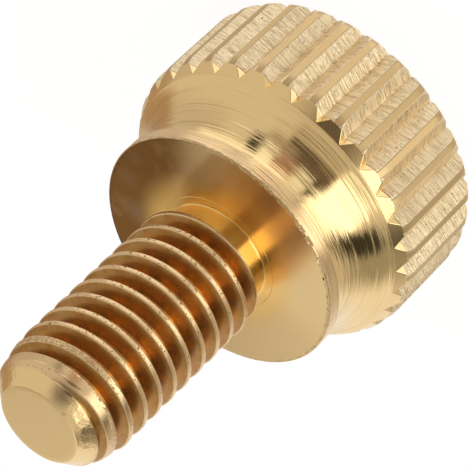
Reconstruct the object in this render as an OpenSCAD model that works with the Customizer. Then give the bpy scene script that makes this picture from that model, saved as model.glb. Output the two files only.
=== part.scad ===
// Thumb screw turned from one bar: a straight-knurled head, a waisted neck,
// a thin flat collar, a plain relief and a right-hand metric thread.
// It stands on the flat end of its head, with the thread upward.
// The origin is on the axis at that flat end. Millimetres.

/* [Head] */
// Diameter over the teeth of the knurl
head_d = 11.74; // [11.7:0.02:12.4]
// Height of the head, from its flat end to the edge above the neck
head_h = 4.32; // [4.2:0.02:4.6]
// Diameter of the edge where the head meets the neck
edge_d = 11.06; // [10.9:0.02:11.08]
// Diameter over the teeth where the cone at the front of the head begins
cone_d = 11.56; // [11.4:0.02:11.6]
// Height of the cone at the front of the head
cone_h = 0.37; // [0.3:0.01:0.45]
// Height over which the front of the head rounds over towards the cone
front_round = 0.5; // [0.35:0.05:0.8]
// Diameter of the flat end
end_d = 11.38; // [11.3:0.02:11.6]
// Height over which the head rounds over towards the flat end
end_round = 0.5; // [0.35:0.05:0.8]

/* [Knurl] */
// Teeth around the head, one of them centred on the +X side
teeth = 32; // [28:4:32]
// Depth of the straight grooves between the teeth
tooth_depth = 0.32; // [0.26:0.01:0.32]
// Angle between the two sides of a groove
groove_angle = 109; // [90:1:110]

/* [Neck and collar] */
// Diameter of the neck at its waist
waist_d = 8.86; // [8.4:0.02:8.9]
// Height of the waist above the flat end
waist_h = 6.24; // [6.1:0.02:6.4]
// Diameter of the collar
collar_d = 9.5; // [9.3:0.05:10]
// Thickness of the collar's rim
collar_t = 0.59; // [0.5:0.01:0.65]
// Height of the collar's face above the flat end
collar_h = 7.1; // [7.05:0.01:7.2]
// Bevel on the edges of the collar
collar_bevel = 0.04; // [0.02:0.01:0.1]

/* [Thread] */
// Diameter over the crests
thread_d = 4.97; // [4.84:0.01:4.98]
// Rise of the thread in one turn
pitch = 0.8; // [0.8:0.01:0.84]
// Width of the flat on a crest
crest_w = 0.14; // [0.09:0.01:0.14]
// Diameter at the bottom of the thread
root_d = 4.02; // [4.02:0.01:4.1]
// Length from the collar's face to the end of the screw
shank_l = 9.9; // [8:0.1:20]
// Height above the collar's face at which the thread's groove starts, on the -Y side
thread_start = 0.448; // [0.4:0.008:0.496]

/* [Relief and end] */
// Diameter of the plain relief under the collar's face
relief_d = 3.98; // [3.9:0.01:3.98]
// Length of the relief, up to the cone that leads to the crests
relief_l = 0.75; // [0.75:0.01:0.85]
// Length of the cone that leads to the crests
runout_l = 0.3; // [0.25:0.01:0.4]
// Radius in the corner between the relief and the collar's face
corner_r = 0.08; // [0.04:0.02:0.3]
// Diameter of the flat at the screw's end
end_flat_d = 3.16; // [2.8:0.02:3.4]
// Diameter at which the bevel of the screw's end begins
bevel_d = 4.48; // [4.3:0.02:4.6]
// Length of the bevel at the screw's end
end_bevel_l = 0.66; // [0.6:0.01:0.8]
// Length over which the last crests taper towards the bevel
taper_l = 1.14; // [0.9:0.02:1.4]

/* [Hidden] */
flank_slope = tan(30);
total_h = collar_h + shank_l;
groove_r = head_d / 2 - tooth_depth;
// The neck's arc has its waist at waist_h and passes through the head's edge.
cove_in = (edge_d - waist_d) / 2;
cove_rise = waist_h - head_h;
cove_r = (cove_in^2 + cove_rise^2) / (2 * cove_in);
// Steps of the thread in one turn
thread_steps = 32;
// Reach of the cutting shapes past the surface that they cut
reach = 0.05;

// Points of an arc about a centre, from one angle to another.
function arc(centre, r, from, to, steps = 4) =
    [for (i = [0:steps])
        let (a = from + (to - from) * i / steps)
        centre + r * [cos(a), sin(a)]];

// Radius of the arc that falls by drop from its tangent over a length.
function round_r(drop, length) = (drop^2 + length^2) / (2 * drop);

// Half of the section of the head: flat end, round, side, round, cone.
// The cone runs on to the collar's radius, and the neck's arc trims it.
function head_outline() =
    let (
        r = head_d / 2,
        end_arc = round_r(r - end_d / 2, end_round),
        end_angle = asin(end_round / end_arc),
        cone_z = head_h - cone_h,
        front_arc = round_r(r - cone_d / 2, front_round),
        front_angle = asin(front_round / front_arc),
        cone_slope = (cone_d - edge_d) / 2 / cone_h,
        cone_end = cone_z + (cone_d - collar_d) / 2 / cone_slope
    )
    concat(
        [[0, 0]],
        arc([r - end_arc, end_round], end_arc, -end_angle, 0),
        arc([r - front_arc, cone_z - front_round], front_arc, 0, front_angle),
        [[collar_d / 2, cone_end]]
    );

// Half of the section of the collar, the relief and the blank of the thread.
function shank_outline() =
    let (
        r = thread_d / 2,
        relief_r = relief_d / 2,
        run_z = collar_h + relief_l
    )
    concat(
        [[collar_d / 2, collar_h - collar_bevel]],
        [[collar_d / 2 - collar_bevel, collar_h]],
        arc([relief_r + corner_r, collar_h + corner_r], corner_r, -90, -180),
        [[relief_r, run_z]],
        [[r, run_z + runout_l]],
        [[r, total_h - end_bevel_l - taper_l]],
        [[bevel_d / 2, total_h - end_bevel_l]],
        [[end_flat_d / 2, total_h]],
        [[0, total_h]]
    );

// Half of the section of the groove that leaves the neck under the collar.
module neck_cut() {
    back = collar_h - collar_t;
    intersection() {
        translate([edge_d / 2 - cove_in + cove_r, waist_h])
            circle(r = cove_r, $fn = 180);
        polygon([
            [0, 0],
            [head_d, 0],
            [head_d, back + head_d - collar_d / 2 + collar_bevel],
            [collar_d / 2 - collar_bevel, back],
            [0, back]
        ]);
    }
}

module blank() {
    rotate_extrude($fn = 180)
        difference() {
            polygon(concat(head_outline(), shank_outline()));
            neck_cut();
        }
}

// Straight V grooves along the head, each from below its flat end to past its cone.
module knurl_grooves() {
    half_w = (tooth_depth + reach) * tan(groove_angle / 2);
    for (i = [0:teeth - 1])
        rotate((i + 0.5) * 360 / teeth)
            translate([0, 0, -tooth_depth])
                linear_extrude(head_h + 2 * tooth_depth)
                    polygon([
                        [groove_r, 0],
                        [head_d / 2 + reach, -half_w],
                        [head_d / 2 + reach, half_w]
                    ]);
}

// The helical groove of the thread: a trapezoid swept round and up the shank.
// It starts in the open relief and ends above the bevel of the screw's end.
module thread_groove() {
    inner_r = root_d / 2;
    outer_r = thread_d / 2 + reach;
    outer_half = (pitch - crest_w) / 2 + reach * flank_slope;
    inner_half = outer_half - (outer_r - inner_r) * flank_slope;
    section = [
        [inner_r, -inner_half],
        [outer_r, -outer_half],
        [outer_r, outer_half],
        [inner_r, inner_half]
    ];
    start_z = collar_h + thread_start;
    bevel_slope = (bevel_d - end_flat_d) / 2 / end_bevel_l;
    end_z = total_h - (root_d - end_flat_d) / 2 / bevel_slope + outer_half;
    steps = ceil((end_z - start_z) / pitch * thread_steps);
    points = [
        for (i = [0:steps])
            let (a = i * 360 / thread_steps - 90)
            for (p = section)
                [p[0] * cos(a), p[0] * sin(a), start_z + p[1] + i * pitch / thread_steps]
    ];
    sides = [
        for (i = [0:steps - 1])
            for (j = [0:3])
                let (k = (j + 1) % 4)
                for (side = [
                    [4 * i + j, 4 * i + 4 + k, 4 * i + 4 + j],
                    [4 * i + j, 4 * i + k, 4 * i + 4 + k]
                ])
                    side
    ];
    last = 4 * steps;
    polyhedron(points, concat([[3, 2, 1, 0]], sides, [[last, last + 1, last + 2, last + 3]]));
}

module thumb_screw() {
    color([0.80, 0.65, 0.38])
        difference() {
            blank();
            knurl_grooves();
            thread_groove();
        }
}

thumb_screw();
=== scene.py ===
import math
from types import SimpleNamespace

import bmesh
import bpy
from mathutils import Matrix, Vector


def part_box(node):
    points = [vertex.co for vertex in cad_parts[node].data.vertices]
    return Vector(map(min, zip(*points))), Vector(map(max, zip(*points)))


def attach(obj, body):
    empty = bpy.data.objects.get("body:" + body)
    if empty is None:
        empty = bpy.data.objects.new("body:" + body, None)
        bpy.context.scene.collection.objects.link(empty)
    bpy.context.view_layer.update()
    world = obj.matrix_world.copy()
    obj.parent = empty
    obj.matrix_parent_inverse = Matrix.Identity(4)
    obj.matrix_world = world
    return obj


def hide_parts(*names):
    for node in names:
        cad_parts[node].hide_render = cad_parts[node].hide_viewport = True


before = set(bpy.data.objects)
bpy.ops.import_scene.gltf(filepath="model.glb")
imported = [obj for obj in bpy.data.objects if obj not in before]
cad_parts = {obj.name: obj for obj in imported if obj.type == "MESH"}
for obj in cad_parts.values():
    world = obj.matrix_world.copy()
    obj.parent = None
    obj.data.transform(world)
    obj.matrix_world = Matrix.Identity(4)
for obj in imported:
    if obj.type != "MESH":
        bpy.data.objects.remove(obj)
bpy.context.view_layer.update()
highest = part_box("thumb_screw")[1]
mm = 0.001

print("stage: tools")


class Value:
    # a socket of a node tree, so that maths on it reads as Python and adds Math nodes

    def __init__(self, tree, socket):
        self.tree = tree
        self.socket = socket

    def mathOn(self, operation, *items):  # self only says which tree the node goes into
        node = self.tree.nodes.new("ShaderNodeMath")
        node.operation = operation
        for number, item in enumerate(items):
            if isinstance(item, Value):
                self.tree.links.new(item.socket, node.inputs[number])
            else:
                node.inputs[number].default_value = item
        return Value(self.tree, node.outputs[0])

    def math(self, operation, *others):
        return self.mathOn(operation, self, *others)

    def __add__(self, other):
        return self.math("ADD", other)

    def __sub__(self, other):
        return self.math("SUBTRACT", other)

    def __mul__(self, other):
        return self.math("MULTIPLY", other)

    def __truediv__(self, other):
        return self.math("DIVIDE", other)

    def __radd__(self, other):
        return self.mathOn("ADD", other, self)

    def __rsub__(self, other):
        return self.mathOn("SUBTRACT", other, self)

    def __rmul__(self, other):
        return self.mathOn("MULTIPLY", other, self)

    def __rtruediv__(self, other):
        return self.mathOn("DIVIDE", other, self)

    def __neg__(self):
        return self.math("MULTIPLY", -1.0)

    def least(self, other):
        return self.math("MINIMUM", other)

    def most(self, other):
        return self.math("MAXIMUM", other)

    def between(self, low, high):
        return self.most(low).least(high)

    def over(self, low, high):  # 0 below low, 1 above high, smooth between
        part = ((self - low) / (high - low)).between(0.0, 1.0)
        return part * part * (3.0 - 2.0 * part)

    def under(self, low, high):  # 1 below low, 0 above high, smooth between
        return 1 - self.over(low, high)


class Graph:
    # one method adds any node: its type, its settings, then its sockets

    def __init__(self, tree):
        self.tree = tree

    def node(self, kind, settings=None, sockets=None):
        made = self.tree.nodes.new(kind)
        for name, value in (settings or {}).items():
            setattr(made, name, value)
        for name, value in (sockets or {}).items():
            if isinstance(value, Value):
                self.tree.links.new(value.socket, made.inputs[name])
            else:
                made.inputs[name].default_value = value
        return made

    def add(self, kind, settings=None, sockets=None, output=0):  # the same, for one of its outputs
        return Value(self.tree, self.node(kind, settings, sockets).outputs[output])

    def vector(self, x, y, z):
        return self.add("ShaderNodeCombineXYZ", None, {"X": x, "Y": y, "Z": z})

    def split(self, vector):
        node = self.node("ShaderNodeSeparateXYZ", None, {0: vector})
        return [Value(self.tree, socket) for socket in node.outputs]

    def blend(self, factor, low, high, label=""):  # of two colours, which are sockets 6 and 7
        settings = {"data_type": "RGBA", "label": label}
        return self.add("ShaderNodeMix", settings, {0: factor, 6: low, 7: high}, 2)

    def noise(self, vector, detail, share, w=None):  # share is each finer layer's strength
        settings = {"noise_dimensions": "3D" if w is None else "4D"}
        sockets = {"Vector": vector, "Scale": 1.0, "Detail": detail, "Roughness": share}
        if w is not None:
            sockets["W"] = w
        return self.add("ShaderNodeTexNoise", settings, sockets)


def addObject(name, data):
    made = bpy.data.objects.new(name, data)
    bpy.context.scene.collection.objects.link(made)
    return made


print("stage: screw")

screw = {  # millimetres and degrees
    "headHeight": 4.32,
    "edgeDiameter": 11.06,  # where the head meets the neck
    "coneDiameter": 11.56,  # over the teeth, at the start of the front cone
    "coneHeight": 0.37,
    "endDiameter": 11.38,
    "rounding": 0.5,  # height of the rounding at either end of the knurl
    "teeth": 32,
    "toothDepth": 0.32,
    "grooveAngle": 109,
    "toothBevel": 0.018,
    "waistDiameter": 8.86,
    "waistHeight": 6.24,
    "collarDiameter": 9.5,
    "collarThickness": 0.59,
    "collarHeight": 7.1,
    "collarBevel": 0.04,
    "threadDiameter": 4.97,
    "rootDiameter": 4.02,
    "pitch": 0.8,
    "crestWidth": 0.14,
    "flankAngle": 30,  # of a side of the thread, off square to the axis
    "threadStart": 0.648,  # a groove's middle above the collar's face, on the +X side
    "reliefDiameter": 3.98,
    "reliefLength": 0.75,
    "runoutLength": 0.3,
    "cornerRadius": 0.08,
    "endFlatDiameter": 3.16,
    "bevelDiameter": 4.48,
    "endBevelLength": 0.66,
    "taperLength": 1.14,  # of the last crests, towards the bevel
    "endRounding": 0.06,
    "crestRounding": 0.015,
    "columns": 10,  # faces across one tooth of the knurl
    "sideShares": (0, 0.36, 0.7),  # rows of corners up a tooth's side
    "bottomRings": (0, 1.5, 3.0, 4.4, 5.2),  # radii of the rows on the head's flat end
    "halvingRadius": 3.0,  # on the collar's face, where the columns halve in number
    "flankRows": 4,  # faces up one side of the thread
    "landRows": 3,  # faces from the rounding of a crest to its middle
    "threadReach": 0.06,  # of the thread's faces, past where its root meets the bevel
    "weld": 0.0002,
    "sharpAngle": 12.5,
}

headRadius = highest.x / mm
tipHeight = highest.z / mm
grooveRadius = headRadius - screw["toothDepth"]
halfTooth = math.pi / screw["teeth"]  # an angle
coneStart = screw["headHeight"] - screw["coneHeight"]
collarBack = screw["collarHeight"] - screw["collarThickness"]
threadSteps = screw["teeth"] * screw["columns"] // 2  # to a turn
flankSlope = math.tan(math.radians(screw["flankAngle"]))
bevelSlope = (screw["bevelDiameter"] - screw["endFlatDiameter"]) / 2 / screw["endBevelLength"]
taperSlope = (screw["threadDiameter"] - screw["bevelDiameter"]) / 2 / screw["taperLength"]
rootEnd = tipHeight - (screw["rootDiameter"] - screw["endFlatDiameter"]) / 2 / bevelSlope
runoutHeight = screw["collarHeight"] + screw["reliefLength"]
runoutSlope = (screw["threadDiameter"] - screw["reliefDiameter"]) / 2 / screw["runoutLength"]


def arc(centre, radius, start, end, count):
    points = []
    for i in range(count + 1):
        angle = math.radians(start + (end - start) * i / count)
        points.append((centre[0] + radius * math.cos(angle), centre[1] + radius * math.sin(angle)))
    return points


def line(start, end, count):
    return [tuple(a + (b - a) * i / count for a, b in zip(start, end)) for i in range(count + 1)]


def roundingRadius(drop, length):
    return (drop * drop + length * length) / (2 * drop)


def knurlOutline():  # half section of the head's toothed part, from its flat end up
    length = screw["rounding"]
    endDrop = headRadius - screw["endDiameter"] / 2
    endRadius = roundingRadius(endDrop, length)
    frontDrop = headRadius - screw["coneDiameter"] / 2
    frontRadius = roundingRadius(frontDrop, length)
    coneTop = (screw["coneDiameter"] / 2, coneStart)
    edge = (screw["edgeDiameter"] / 2, screw["headHeight"])
    share = (coneTop[0] - grooveRadius) / (coneTop[0] - edge[0])
    runOut = (grooveRadius, coneTop[1] + share * (edge[1] - coneTop[1]))
    endAngle = math.degrees(math.asin(length / endRadius))
    frontAngle = math.degrees(math.asin(length / frontRadius))
    points = arc((headRadius - endRadius, length), endRadius, -endAngle, 0, 6)
    points += line((headRadius, length), (headRadius, coneStart - length), 16)[1:]
    points += arc((headRadius - frontRadius, coneStart - length), frontRadius, 0, frontAngle, 6)[1:]
    points += line(coneTop, runOut, 6)[1:]
    return points


def neckOutline():  # the cove from the head's edge to the underside of the collar
    inset = (screw["edgeDiameter"] - screw["waistDiameter"]) / 2
    rise = screw["waistHeight"] - screw["headHeight"]
    radius = roundingRadius(inset, rise)
    centre = (screw["waistDiameter"] / 2 + radius, screw["waistHeight"])
    start = 180 + math.degrees(math.asin(rise / radius))
    end = 180 - math.degrees(math.asin((collarBack - screw["waistHeight"]) / radius))
    return arc(centre, radius, start, end, 44)


def collarOutline():  # its rim, bevelled at both edges, and the outer part of its face
    radius = screw["collarDiameter"] / 2
    bevel = screw["collarBevel"]
    top = screw["collarHeight"]
    points = line((radius - bevel, collarBack), (radius, collarBack + bevel), 1)
    points += line((radius, collarBack + bevel), (radius, top - bevel), 6)[1:]
    points += line((radius, top - bevel), (radius - bevel, top), 1)[1:]
    points += line((radius - bevel, top), (screw["halvingRadius"], top), 10)[1:]
    return points


def reliefOutline():  # corner and plain relief, up to where the thread's own faces start
    radius = screw["reliefDiameter"] / 2
    corner = screw["cornerRadius"]
    top = screw["collarHeight"]
    points = arc((radius + corner, top + corner), corner, 270, 180, 8)
    points += line((radius, top + corner), (radius, runoutHeight), 4)[1:]
    return points


def endOutline(start):  # from the thread's last faces over the bevel to the middle of the end
    flat = screw["endFlatDiameter"] / 2
    rounding = screw["endRounding"]
    lean = math.degrees(math.atan(1 / bevelSlope))  # of the bevel's normal from the axis
    cut = rounding * math.tan(math.radians(lean / 2))
    slant = math.hypot(1, bevelSlope)
    rimStart = (flat + cut * bevelSlope / slant, tipHeight - cut / slant)
    centre = (flat - cut, tipHeight - rounding)
    bottom = (flat + (tipHeight - start) * bevelSlope, start)
    points = line(bottom, rimStart, 6)[:-1]
    points += arc(centre, rounding, 90 - lean, 90, 6)
    points += line((flat - cut, tipHeight), (0, tipHeight), 8)[1:]
    return points


def evenRow(radius, height, columns):  # a plain arc, as wide as one tooth
    row = []
    for i in range(columns + 1):
        angle = halfTooth * (2 * i / columns - 1)
        row.append((radius * math.cos(angle), radius * math.sin(angle), height))
    return row


def toothedRow(radius, height):  # across one tooth, from groove to groove
    spread = math.tan(math.radians(screw["grooveAngle"] / 2))
    lean = math.atan(1 / spread)
    reach = radius * math.hypot(1, 1 / spread)
    opening = max(math.acos(min(grooveRadius / reach, 1)) - lean, 0)  # half the groove's angle
    bottom = Vector((min(grooveRadius, radius), 0))
    corner = Vector((radius * math.cos(opening), radius * math.sin(opening)))
    bevel = min(screw["toothBevel"], (corner - bottom).length / 4, radius * (halfTooth - opening) / 4)
    flank = []
    for share in screw["sideShares"]:
        flank.append(bottom.lerp(corner, share))
    if opening > 0:
        flank.append(corner + (bottom - corner).normalized() * bevel)
    else:
        flank.append(corner)
    landStart = opening + bevel / radius
    flank.append(Vector((radius * math.cos(landStart), radius * math.sin(landStart))))
    row = []
    for point in flank:  # turned from the groove's middle, on the tooth's low side
        turned = Matrix.Rotation(-halfTooth, 2) @ point
        row.append((turned.x, turned.y, height))
    row.append((radius, 0, height))
    for x, y, z in reversed(row[:-1]):
        row.append((x, -y, z))
    return row


def addRows(bm, rows):  # faces between rows of points, which may halve in number
    rings = []
    for row in rows:
        rings.append([bm.verts.new(Vector(point) * mm) for point in row])
    for low, high in zip(rings, rings[1:]):
        if len(low) == len(high):
            for i in range(len(low) - 1):
                bm.faces.new((low[i], low[i + 1], high[i + 1], high[i]))
        else:
            for i in range(len(high) - 1):
                bm.faces.new((low[2 * i], low[2 * i + 1], high[i]))
                bm.faces.new((low[2 * i + 1], high[i + 1], high[i]))
                bm.faces.new((low[2 * i + 1], low[2 * i + 2], high[i + 1]))


def sectorMesh(threadTop):  # one tooth's share of everything but the thread
    full = screw["columns"]
    rows = [evenRow(radius, 0, full) for radius in screw["bottomRings"]]
    rows += [toothedRow(radius, height) for radius, height in knurlOutline()]
    rows += [evenRow(radius, height, full) for radius, height in neckOutline()]
    rows += [evenRow(radius, height, full) for radius, height in collarOutline()]
    rows += [evenRow(radius, height, full // 2) for radius, height in reliefOutline()]
    bm = bmesh.new()
    addRows(bm, rows)
    addRows(bm, [evenRow(radius, height, full // 2) for radius, height in endOutline(threadTop)])
    mesh = bpy.data.meshes.new("screwSector")
    bm.to_mesh(mesh)
    bm.free()
    return mesh


def newGeometryTree(name, inputs):
    tree = bpy.data.node_groups.new(name, "GeometryNodeTree")
    tree.interface.new_socket(name="Geometry", in_out="INPUT", socket_type="NodeSocketGeometry")
    tree.interface.new_socket(name="Geometry", in_out="OUTPUT", socket_type="NodeSocketGeometry")
    for label, kind in inputs.items():
        tree.interface.new_socket(name=label, in_out="INPUT", socket_type=kind)
    graph = Graph(tree)
    entry = graph.node("NodeGroupInput")
    given = {socket.name: Value(tree, socket) for socket in entry.outputs if socket.name}
    return graph, given


def closeGeometryTree(graph, geometry, given):
    merge = {"Geometry": geometry, "Distance": given["Weld"]}
    welded = graph.add("GeometryNodeMergeByDistance", None, merge)
    whole = graph.add("GeometryNodeRealizeInstances", None, {"Geometry": welded})
    painted = graph.add("GeometryNodeSetMaterial", None, {"Geometry": whole, "Material": given["Material"]})
    graph.node("NodeGroupOutput", None, {"Geometry": painted})
    return graph.tree


def aroundTree():  # the sector set round the axis, once for each tooth
    graph, given = newGeometryTree("sectorsAround", {
        "Count": "NodeSocketInt",
        "Weld": "NodeSocketFloat",
        "Material": "NodeSocketMaterial",
    })
    turn = graph.add("GeometryNodeInputIndex") * math.tau / given["Count"]
    copies = graph.add("GeometryNodeInstanceOnPoints", None, {
        "Points": graph.add("GeometryNodePoints", None, {"Count": given["Count"]}),
        "Instance": given["Geometry"],
        "Rotation": graph.vector(0, 0, turn),
    })
    whole = graph.add("GeometryNodeRealizeInstances", None, {"Geometry": copies})
    return closeGeometryTree(graph, whole, given)


def threadTree():  # a strip one pitch wide wound up the shank, kept inside its blank
    sizes = ["Pitch", "Crest", "Root", "Land", "Rounding", "Start", "First angle", "Turns", "Low", "High",
             "Relief", "Runout", "Runout slope", "Bevel", "Bevel radius", "Bevel slope", "Taper slope",
             "Weld"]
    kinds = {label: "NodeSocketFloat" for label in sizes}
    kinds.update({label: "NodeSocketInt" for label in ("Steps", "Flank rows", "Land rows")})
    kinds["Material"] = "NodeSocketMaterial"
    graph, given = newGeometryTree("threadStrip", kinds)
    pitch, crest, root = given["Pitch"], given["Crest"], given["Root"]
    flankRows, landRows = given["Flank rows"], given["Land rows"]
    rows = flankRows + landRows + 3.0  # one for the groove's bottom and two for the rounding
    grid = graph.add("GeometryNodeMeshGrid", None, {
        "Size X": 1.0,
        "Size Y": 1.0,
        "Vertices X": given["Steps"] * given["Turns"] + 1,
        "Vertices Y": rows * 2 + 1,
    })
    along, across = graph.split(graph.add("GeometryNodeInputPosition"))[:2]
    turn = (along + 0.5) * given["Turns"]
    groove = given["Start"] + pitch * turn
    side = across.math("SIGN")
    step = across.math("ABSOLUTE") * 2.0 * rows
    bottomPart = step.between(0.0, 1.0)
    flankPart = ((step - 1.0) / flankRows).between(0.0, 1.0)
    roundPart = ((step - flankRows - 1.0) / 2.0).between(0.0, 1.0)
    landPart = ((step - flankRows - 3.0) / landRows).between(0.0, 1.0)
    halfBottom = (pitch - given["Land"]) / 2.0 - (crest - root) * flankSlope

    # each cone of the blank is a line: its radius at the groove's foot, and its slope
    foot = groove + side * (halfBottom - root * flankSlope)
    cones = [
        (given["Relief"] - given["Runout"] * given["Runout slope"], given["Runout slope"]),
        (given["Bevel radius"] + given["Bevel"] * given["Bevel slope"], -given["Bevel slope"]),
        (given["Bevel radius"] + given["Bevel"] * given["Taper slope"], -given["Taper slope"]),
    ]
    edge = crest
    for base, slope in cones:
        edge = edge.least((base + slope * foot) / (1.0 - side * slope * flankSlope))
    edge = edge.most(root)  # radius at which this side of the thread meets the blank
    cut = given["Rounding"].least(edge - root)
    bulge = roundPart * 2.0 - roundPart * roundPart
    reach = root + flankPart * (edge - cut - root)
    corner = bottomPart * halfBottom + (reach - root) * flankSlope
    rounded = corner + bulge * cut * flankSlope + roundPart * roundPart * cut
    offset = side * (rounded + landPart * (pitch / 2.0 - rounded))
    height = (groove + offset).most(given["Low"]).least(given["High"])
    blank = crest
    for base, slope in cones:
        blank = blank.least(base + slope * height)
    radius = blank.least(reach + bulge * cut + landPart.math("GREATER_THAN", 0.0) * crest)
    angle = turn * math.tau + given["First angle"]
    spot = graph.vector(radius * angle.math("COSINE"), radius * angle.math("SINE"), height)
    strip = graph.add("GeometryNodeSetPosition", None, {"Geometry": grid, "Position": spot})
    joined = graph.node("GeometryNodeJoinGeometry")
    for shape in (given["Geometry"], strip):
        graph.tree.links.new(shape.socket, joined.inputs[0])
    return closeGeometryTree(graph, Value(graph.tree, joined.outputs[0]), given)


def addTree(piece, tree, values):
    modifier = piece.modifiers.new(tree.name, "NODES")
    modifier.node_group = tree
    for item in tree.interface.items_tree:
        if item.in_out == "INPUT" and item.name in values:
            modifier[item.identifier] = values[item.name]


def settle(piece):  # the modifiers' result becomes the piece's own closed mesh
    bpy.context.view_layer.update()
    whole = bpy.data.meshes.new_from_object(piece.evaluated_get(bpy.context.evaluated_depsgraph_get()))
    piece.modifiers.clear()
    piece.data = whole
    bm = bmesh.new()
    bm.from_mesh(whole)
    bmesh.ops.dissolve_degenerate(bm, dist=screw["weld"] * mm, edges=bm.edges)
    bmesh.ops.recalc_face_normals(bm, faces=bm.faces)
    loose = [edge for edge in bm.edges if len(edge.link_faces) != 2]
    print("screw faces", len(bm.faces), "edges that aren't between two faces", len(loose))
    bm.to_mesh(whole)
    bm.free()
    whole.shade_smooth()
    whole.set_sharp_from_angle(angle=math.radians(screw["sharpAngle"]))


def makeScrew(material):
    threadTop = rootEnd + screw["threadReach"]
    piece = addObject("turned_screw", sectorMesh(threadTop))
    addTree(piece, aroundTree(), {
        "Count": screw["teeth"],
        "Weld": screw["weld"] * mm,
        "Material": material,
    })
    start = screw["collarHeight"] + screw["threadStart"] - screw["pitch"] * (halfTooth / math.tau + 1)
    addTree(piece, threadTree(), {
        "Pitch": screw["pitch"] * mm,
        "Crest": screw["threadDiameter"] / 2 * mm,
        "Root": screw["rootDiameter"] / 2 * mm,
        "Land": screw["crestWidth"] * mm,
        "Rounding": screw["crestRounding"] * mm,
        "Start": start * mm,
        "First angle": -halfTooth,
        "Turns": math.ceil((threadTop - start) / screw["pitch"] * 2 + 1) / 2,
        "Low": runoutHeight * mm,
        "High": threadTop * mm,
        "Relief": screw["reliefDiameter"] / 2 * mm,
        "Runout": runoutHeight * mm,
        "Runout slope": runoutSlope,
        "Bevel": (tipHeight - screw["endBevelLength"]) * mm,
        "Bevel radius": screw["bevelDiameter"] / 2 * mm,
        "Bevel slope": bevelSlope,
        "Taper slope": taperSlope,
        "Weld": screw["weld"] * mm,
        "Steps": threadSteps,
        "Flank rows": screw["flankRows"],
        "Land rows": screw["landRows"],
        "Material": material,
    })
    settle(piece)
    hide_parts("thumb_screw")
    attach(piece, "root")


print("stage: material")

finish = {  # lengths in millimetres, marks to a millimetre
    "brass": (0.88, 0.66, 0.34, 1),
    "rim": (0.86, 0.63, 0.36, 1),
    "shankReflection": (0.95, 0.62, 0.20, 1),  # painted reflection: the relief and the face round it, a brighter orange as where they mirror the brass shank
    "inMarks": (0.52, 0.37, 0.19, 1),  # a darker colour in the low parts of the turning lines and the knurl's cutter marks
    "specks": (0.25, 0.15, 0.07, 1),
    # painted light: the knurl's lands are a darker tan as painted shade, and its tooth sides a paler brass
    # as painted highlight
    "knurlLandShade": (0.66, 0.48, 0.25, 1),
    "knurlFlankHighlight": (0.98, 0.82, 0.56, 1),
    "threadCrest": (0.80, 0.58, 0.33, 1),
    # painted shade: the thread's flanks are coloured darker than its crests, mottled between these two
    # browns
    "threadFlankShade": (0.44, 0.25, 0.09, 1),
    "threadShade": (0.37, 0.18, 0.05, 1),
    # painted shade deep in the thread's grooves, mottled between a dark brown and a dark orange
    "grooveShadeOrange": (0.58, 0.27, 0.065, 1),
    "grooveShadeDark": (0.38, 0.20, 0.08, 1),
    "tarnishAndShade": (0.235, 0.11, 0.023, 1),  # where the collar's face has gone brown: partly tarnish, partly painted shade for the dark reflection on that side
    "smudge": (0.30, 0.22, 0.13, 1),
    "brushing": 0.95,  # how much longer the reflections are across the turning lines
    "neckRoughness": 0.11,
    "faceRoughness": 0.24,
    "rimRoughness": 0.24,
    "coneRoughness": 0.22,
    "landRoughness": 0.40,
    "flankRoughness": 0.34,
    "threadRoughness": 0.30,
    "endRoughness": 0.22,
    "landEdge": (0.10, 0.13),  # where a tooth's side begins, in shares of the spacing
    "tarnishAndShadeSide": (-0.36, 0.62),  # the way across the collar's face, from clean to brown, the brown side partly painted shade
    "tarnishAndShadeReach": (-0.4, 1.9),  # how far along it the tarnish and painted shade begin and are full
    "shankReflectionReach": (2.2, 3.6),  # radii on the face over which the painted reflection fades
    "clouds": 0.9,  # large dull patches
    "mottling": 2.3,
    "turningLines": 15.0,
    "turningBands": 3.2,
    "arcLength": 0.8,  # how often the lines change on their way round
    "neckLineDepth": 0.030,
    "faceLineDepth": 0.0012,
    "rimLineDepth": 0.05,
    "threadLineDepth": 0.004,
    "bandDepth": 0.010,
    "cutterMarks": 15.0,  # across the sides of the knurl's teeth
    "cutterStretch": 1.3,
    "cutterDepth": 0.075,
    "nicks": 11.0,
    "edgeNicks": 6.0,
    "nickDepth": 0.12,
    "dentDepth": 0.035,  # on the bevel of the screw's end
    "scribedRing": 2.33,  # a tool mark on the collar's face
    "ringDepth": 0.02,
    "smudges": [  # place, radius and strength
        (-1.7, 3.1, 7.1, 0.8, 0.45),
        (-0.6, 4.1, 7.1, 0.6, 0.25),
        (0.6, 4.3, 7.1, 0.5, 0.25),
        (1.55, -0.4, 17.0, 0.12, 0.5),
        (1.90, 0.05, 16.7, 0.65, 0.95),
    ],
}


def surfacePlaces(graph):  # millimetres from the screw's origin, and round its axis
    x, y, z = [part / mm for part in graph.split(graph.add("ShaderNodeTexCoord", output="Object"))]
    radius = (x * x + y * y).math("SQRT")
    return SimpleNamespace(x=x, y=y, z=z, radius=radius, angle=y.math("ARCTAN2", x))


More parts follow.
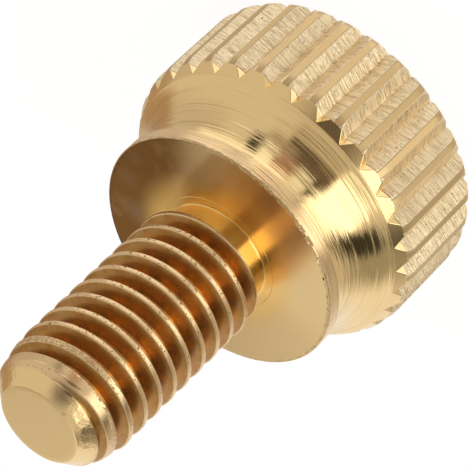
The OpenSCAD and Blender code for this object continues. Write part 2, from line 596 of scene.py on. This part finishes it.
def surfaceMasks(at):  # each is 1 on its own part of the screw and 0 off it, with a soft edge
    z, radius = at.z, at.radius
    headTop = screw["headHeight"]
    edgeRadius = screw["edgeDiameter"] / 2
    collarTop = screw["collarHeight"]
    collarRadius = screw["collarDiameter"] / 2
    bevelRadius = screw["bevelDiameter"] / 2
    on = SimpleNamespace()
    on.knurl = z.under(headTop - 0.02, headTop + 0.02) * radius.over(edgeRadius - 0.13, edgeRadius - 0.03)
    on.teeth = on.knurl * z.under(coneStart - 0.05, coneStart + 0.01)
    tooth = (at.angle * (screw["teeth"] / math.tau)).math("WRAP", 0.5, -0.5).math("ABSOLUTE")
    on.flank = on.teeth * tooth.over(*finish["landEdge"])
    on.neck = z.over(headTop, headTop + 0.05) * z.under(collarBack - 0.11, collarBack - 0.01)
    on.rim = z.over(collarBack - 0.01, collarBack + 0.01) * z.under(collarTop - 0.01, collarTop)
    on.rim = on.rim * radius.over(collarRadius - 0.15, collarRadius - 0.05)
    on.rimEdge = z.over(collarTop - 0.07, collarTop - 0.03)
    on.rimEdge = on.rimEdge * radius.over(collarRadius - 0.15, collarRadius - 0.07)
    on.face = z.over(collarTop - 0.02, collarTop) * z.under(collarTop + 0.01, collarTop + 0.03)
    on.turned = (1 - on.knurl) * z.under(runoutHeight, runoutHeight + 0.02)
    on.thread = z.over(runoutHeight - 0.1, runoutHeight + 0.1) * z.under(tipHeight - 0.5, tipHeight - 0.4)
    blank = bevelSlope * (tipHeight - screw["endBevelLength"] - z)
    blank = blank.least(blank * (taperSlope / bevelSlope)) + bevelRadius
    blank = blank.least((z - runoutHeight) * runoutSlope + screw["reliefDiameter"] / 2)
    on.depth = blank.least(screw["threadDiameter"] / 2) - radius  # in millimetres under the crests
    on.groove = on.thread * on.depth.over(0.02, 0.06)
    on.crest = on.thread * on.depth.under(0.005, 0.02) * radius.over(bevelRadius + 0.06, bevelRadius + 0.12)
    on.tip = z.over(tipHeight - 0.55, tipHeight - 0.45)
    fade = 1 - 0.95 * z.over(tipHeight - 0.16, tipHeight - 0.01)  # towards the flat
    on.bevel = z.over(tipHeight - 0.7, tipHeight - 0.6) * fade
    on.end = z.over(tipHeight - 0.03, tipHeight - 0.02)
    return on


def byPlace(base, changes):  # a value of the finish, which each mask changes from one to another
    value = finish[base]
    for mask, before, after in changes:
        value = value + mask * (finish[after] - finish[before])
    return value


def makePatterns(graph, at):
    def grained(scale, detail, share):
        return graph.noise(graph.vector(at.x * scale, at.y * scale, at.z * scale), detail, share)

    # the turning lines change a little on their way round, and follow the thread where it is cut
    climb = at.z - screw["collarHeight"] - screw["threadStart"] - at.angle * (screw["pitch"] / math.tau)
    offGroove = climb.math("WRAP", screw["pitch"] / 2, -screw["pitch"] / 2).math("ABSOLUTE")
    along = at.z + at.z.math("GREATER_THAN", runoutHeight) * (offGroove - at.z)
    roundX = at.x / at.radius * finish["arcLength"]
    roundY = at.y / at.radius * finish["arcLength"]
    fine, wide, stretch = finish["turningLines"], finish["turningBands"], finish["cutterStretch"]
    linePlace = graph.vector(at.radius * fine, along * fine, roundX)
    bandPlace = graph.vector(at.radius * wide, along * wide, roundX)
    cutPlace = graph.vector(at.x * stretch, at.y * stretch, at.z * finish["cutterMarks"])
    return SimpleNamespace(
        lines=graph.noise(linePlace, 2.5, 0.62, roundY),
        bands=graph.noise(bandPlace, 1.0, 0.5, roundY + 7.0),
        cuts=graph.noise(cutPlace, 3.0, 0.65),
        grain=grained(finish["nicks"], 1.5, 0.6),
        chips=grained(finish["edgeNicks"], 2.0, 0.7),
        cloud=grained(finish["clouds"], 2.0, 0.55),
        mottle=grained(finish["mottling"], 2.5, 0.6),
    )


def toolMarks(graph, at, on, pattern):  # what the tools, knocks and wear left, as a bump
    lineDepth = byPlace("faceLineDepth", [
        (on.neck, "faceLineDepth", "neckLineDepth"),
        (on.rim, "faceLineDepth", "rimLineDepth"),
        (on.thread, "faceLineDepth", "threadLineDepth"),
    ])
    patchy = 0.4 + 0.6 * pattern.bands.over(0.42, 0.60)
    battered = (on.rimEdge + on.crest * at.z.over(tipHeight - 1.7, tipHeight - 1.3)).least(1.0)
    nicks = pattern.grain.over(0.60, 0.74) * on.crest + pattern.chips.over(0.48, 0.60) * battered
    ring = on.face * (at.radius - finish["scribedRing"]).math("ABSOLUTE").under(0.0, 0.03)
    height = (pattern.lines * lineDepth * (1 - on.end) * patchy * (1 - on.knurl)
              + pattern.bands * on.neck * finish["bandDepth"]
              + pattern.cuts * on.flank * finish["cutterDepth"]
              + pattern.mottle * on.bevel * finish["dentDepth"]
              - ring * finish["ringDepth"]
              - nicks * finish["nickDepth"])
    return graph.add("ShaderNodeBump", None, {"Strength": 1.0, "Distance": mm, "Height": height})


def smudges(at, pattern):
    smudged = 0.0
    for placeX, placeY, placeZ, reach, strength in finish["smudges"]:
        fromX, fromY, fromZ = at.x - placeX, at.y - placeY, at.z - placeZ
        away = (fromX * fromX + fromY * fromY + fromZ * fromZ).math("SQRT")
        smudged = smudged + away.under(0.0, reach) * (pattern.cloud * 0.8 + 0.6) * strength
    return smudged.least(1.0)


# the base colour: stains, specks and wear, with painted shade, highlight and reflection on the knurl,
# thread, collar's face and round the shank
def wearAndPaintedLight(graph, at, on, pattern):
    blend = graph.blend
    collarTop = screw["collarHeight"]
    # partly tarnish, partly painted shade: one side of the collar's face is coloured dark brown
    shadeSideX, shadeSideY = finish["tarnishAndShadeSide"]
    tarnishedAndShaded = on.face * (at.y * shadeSideY + at.x * shadeSideX).over(*finish["tarnishAndShadeReach"])
    tarnishedAndShaded = (tarnishedAndShaded * (0.7 + pattern.cloud * 0.7)).between(0.0, 1.0)
    colour = blend(tarnishedAndShaded, finish["brass"], finish["tarnishAndShade"])
    # painted reflection of the brass shank, a brighter orange close to it
    nearShank = at.radius.under(*finish["shankReflectionReach"]) * at.z.over(collarTop - 0.1, collarTop)
    colour = blend(nearShank * on.turned * 0.85, colour, finish["shankReflection"])
    colour = blend(on.rim, colour, finish["rim"])
    inLines = pattern.lines.under(0.28, 0.44) * (on.neck + on.rim) * 0.55
    colour = blend(inLines, colour, finish["inMarks"])
    colour = blend(on.thread, colour, finish["threadCrest"])
    # painted shade on the knurl's lands, painted highlight on its tooth sides
    colour = blend(on.teeth, colour, finish["knurlLandShade"])
    colour = blend(on.flank, colour, finish["knurlFlankHighlight"])
    # painted shade on the thread below its crests
    flankShade = blend(pattern.mottle.over(0.35, 0.65), finish["threadFlankShade"], finish["threadShade"])
    colour = blend(on.groove, colour, flankShade)
    # painted shade, strongest deepest in the thread's grooves
    grooveShade = blend(pattern.mottle.over(0.40, 0.62), finish["grooveShadeDark"], finish["grooveShadeOrange"])
    colour = blend(on.groove * on.depth.over(0.10, 0.40), colour, grooveShade)
    colour = blend(pattern.cuts.under(0.38, 0.52) * on.flank * 0.55, colour, finish["inMarks"])
    specks = pattern.grain.over(0.66, 0.72) * (on.thread + on.flank).least(1.0)
    colour = blend(specks * 0.8, colour, finish["specks"])
    return blend(smudges(at, pattern), colour, finish["smudge"])


def brassMaterial():
    material = bpy.data.materials.new("turnedBrass")
    material.use_nodes = True
    material.node_tree.nodes.clear()
    graph = Graph(material.node_tree)
    at = surfacePlaces(graph)
    on = surfaceMasks(at)
    pattern = makePatterns(graph, at)
    roughness = byPlace("faceRoughness", [
        (on.neck, "faceRoughness", "neckRoughness"),
        (on.rim, "faceRoughness", "rimRoughness"),
        (on.knurl, "faceRoughness", "coneRoughness"),
        (on.teeth, "coneRoughness", "landRoughness"),
        (on.flank, "landRoughness", "flankRoughness"),
        (on.thread, "faceRoughness", "threadRoughness"),
        (on.tip, "faceRoughness", "endRoughness"),
    ])
    common = {
        "Base Color": wearAndPaintedLight(graph, at, on, pattern),
        "Metallic": 1.0,
        "Roughness": roughness + (pattern.cloud - 0.5) * 0.08,
        "Normal": toolMarks(graph, at, on, pattern),
    }
    plain = graph.add("ShaderNodeBsdfPrincipled", None, common)
    brushed = graph.add("ShaderNodeBsdfPrincipled", None, {
        **common, "Anisotropic": finish["brushing"], "Anisotropic Rotation": 0.25})
    shader = graph.add("ShaderNodeMixShader", None, {0: on.turned, 1: plain, 2: brushed})
    graph.node("ShaderNodeOutputMaterial", None, {"Surface": shader})
    return material


makeScrew(brassMaterial())

print("stage: camera and studio")

view = {  # millimetres and degrees
    "aimHeight": 6.06,
    "distance": 112.91,
    "azimuth": -2.93,
    "elevation": 35.08,
    "roll": -134.03,
    "lens": 248.79,
    "sensor": 36,
}


def placeCamera():
    camera = addObject("camera", bpy.data.cameras.new("camera"))
    camera.data.lens = view["lens"]
    camera.data.sensor_width = view["sensor"]
    camera.data.clip_start = 1 * mm
    around, up = math.radians(view["azimuth"]), math.radians(view["elevation"])
    back = Vector((math.cos(up) * math.cos(around), math.cos(up) * math.sin(around), math.sin(up)))
    level = Vector((-math.sin(around), math.cos(around), 0))
    above = back.cross(level)
    roll = math.radians(view["roll"])
    right = math.cos(roll) * level + math.sin(roll) * above
    top = -math.sin(roll) * level + math.cos(roll) * above
    turn = Matrix((right, top, back)).transposed().to_4x4()
    spot = Vector((0, 0, view["aimHeight"] * mm)) + back * view["distance"] * mm
    camera.matrix_world = Matrix.Translation(spot) @ turn
    bpy.context.scene.camera = camera


placeCamera()


studio = {  # what the metal sees all round
    "round the room": (0.74, 0.69, 0.61, 1),
    "zones": [  # azimuth, half width, lean, elevation, half height, softness aside and upward, colour
        ("high up", 0, 181, 0, 88, 22, 8, 16, (0.60, 0.57, 0.50)),
        ("pale wall on the left", -150, 27, 0, 0, 60, 14, 20, (0.98, 0.95, 0.92)),
        ("low on the right", 100, 28, 0, -14, 22, 20, 16, (0.62, 0.56, 0.50)),
        ("wood on the right", 143, 15, 0, -8, 24, 14, 14, (0.45, 0.31, 0.20)),
        ("bench behind", 171, 6, 0, 43, 10.5, 4, 1.5, (0.20, 0.12, 0.07)),
        ("softbox", -46, 20, -0.1, 4, 46, 3, 7, (2.0, 1.97, 1.82)),
        ("dim left", -104, 15, -0.3, 18, 32, 14, 16, (0.38, 0.35, 0.29)),
        ("dark left", -79, 11, -0.33, 6, 38, 5, 8, (0.05, 0.045, 0.035)),
        ("low left", -92, 24, 0, -32, 9, 10, 6, (0.62, 0.56, 0.46)),
        ("above the camera", 0, 29, 0, 50, 11, 8, 10, (0.55, 0.48, 0.38)),
        ("camera", -4, 24, 0, 22, 21, 6, 8, (0.17, 0.13, 0.10)),
        ("beside the camera", 22, 13, 0, 13, 14, 14, 10, (0.40, 0.34, 0.28)),
        ("lens", 6, 15, 0, 34, 6, 8, 6, (0.05, 0.04, 0.03)),
        ("white card left", -9, 9.5, 0, -16, 20, 2, 4, (0.98, 0.96, 0.86)),
        ("red box", 10.5, 10.5, 0, -13, 12, 4, 8, (0.46, 0.24, 0.18)),
        ("white card right", 28, 7, 0, -20, 20, 3, 5, (1.10, 1.08, 1.02)),
        ("stand left", -18.5, 2.2, 0, -12, 24, 2, 8, (0.05, 0.04, 0.03)),
        ("stand right", 40.5, 5.5, 0, -18, 19, 3, 6, (0.05, 0.045, 0.04)),
        ("below", 0, 181, 0, -70, 32, 4, 5, (0.76, 0.68, 0.58)),
        ("white table on the right", 50, 48, 0, -62, 33, 16, 6, (1.35, 1.30, 1.22)),
    ],
}


def makeWorld():
    world = bpy.data.worlds.new("studio")
    bpy.context.scene.world = world
    world.use_nodes = True
    world.node_tree.nodes.clear()
    graph = Graph(world.node_tree)
    x, y, z = graph.split(graph.add("ShaderNodeTexCoord", output="Generated"))
    azimuth = y.math("ARCTAN2", x) * math.degrees(1)
    elevation = z.math("ARCSINE") * math.degrees(1)
    colour = studio["round the room"]
    for name, aim, halfWidth, lean, height, halfHeight, sideEdge, topEdge, shade in studio["zones"]:
        aside = (azimuth - aim - (elevation - height) * lean).math("WRAP", 180.0, -180.0).math("ABSOLUTE")
        across = aside.under(halfWidth - sideEdge / 2, halfWidth + sideEdge / 2)
        above = (elevation - height).math("ABSOLUTE")
        upward = above.under(halfHeight - topEdge / 2, halfHeight + topEdge / 2)
        colour = graph.blend(across * upward, colour, (*shade, 1), name)
    seen = graph.add("ShaderNodeLightPath", output="Is Camera Ray")
    colour = graph.blend(seen, colour, (1, 1, 1, 1))
    light = graph.add("ShaderNodeBackground", None, {"Color": colour})
    graph.node("ShaderNodeOutputWorld", None, {"Surface": light})


ground = {
    "size": 400,  # millimetres
    "colour": (0.9, 0.9, 0.9, 1),
    "brightness": 1.12,  # what the camera sees of it, apart from the shadow
    "share": 0.8,
}


def makeFloor():
    bm = bmesh.new()
    bmesh.ops.create_grid(bm, x_segments=1, y_segments=1, size=ground["size"] * mm)
    mesh = bpy.data.meshes.new("floor")
    bm.to_mesh(mesh)
    bm.free()
    floor = addObject("floor", mesh)
    floor.visible_glossy = False  # the metal sees the studio all round
    material = bpy.data.materials.new("paleFloor")
    material.use_nodes = True
    material.node_tree.nodes.clear()
    graph = Graph(material.node_tree)
    plain = graph.add("ShaderNodeBsdfDiffuse", None, {"Color": ground["colour"]})
    bright = graph.add("ShaderNodeEmission", None, {"Color": (1, 1, 1, 1), "Strength": ground["brightness"]})
    seen = graph.add("ShaderNodeLightPath", output="Is Camera Ray")
    shader = graph.add("ShaderNodeMixShader", None, {0: seen * ground["share"], 1: plain, 2: bright})
    graph.node("ShaderNodeOutputMaterial", None, {"Surface": shader})
    mesh.materials.append(material)


makeWorld()
makeFloor()
bpy.context.scene.view_settings.view_transform = "Standard"
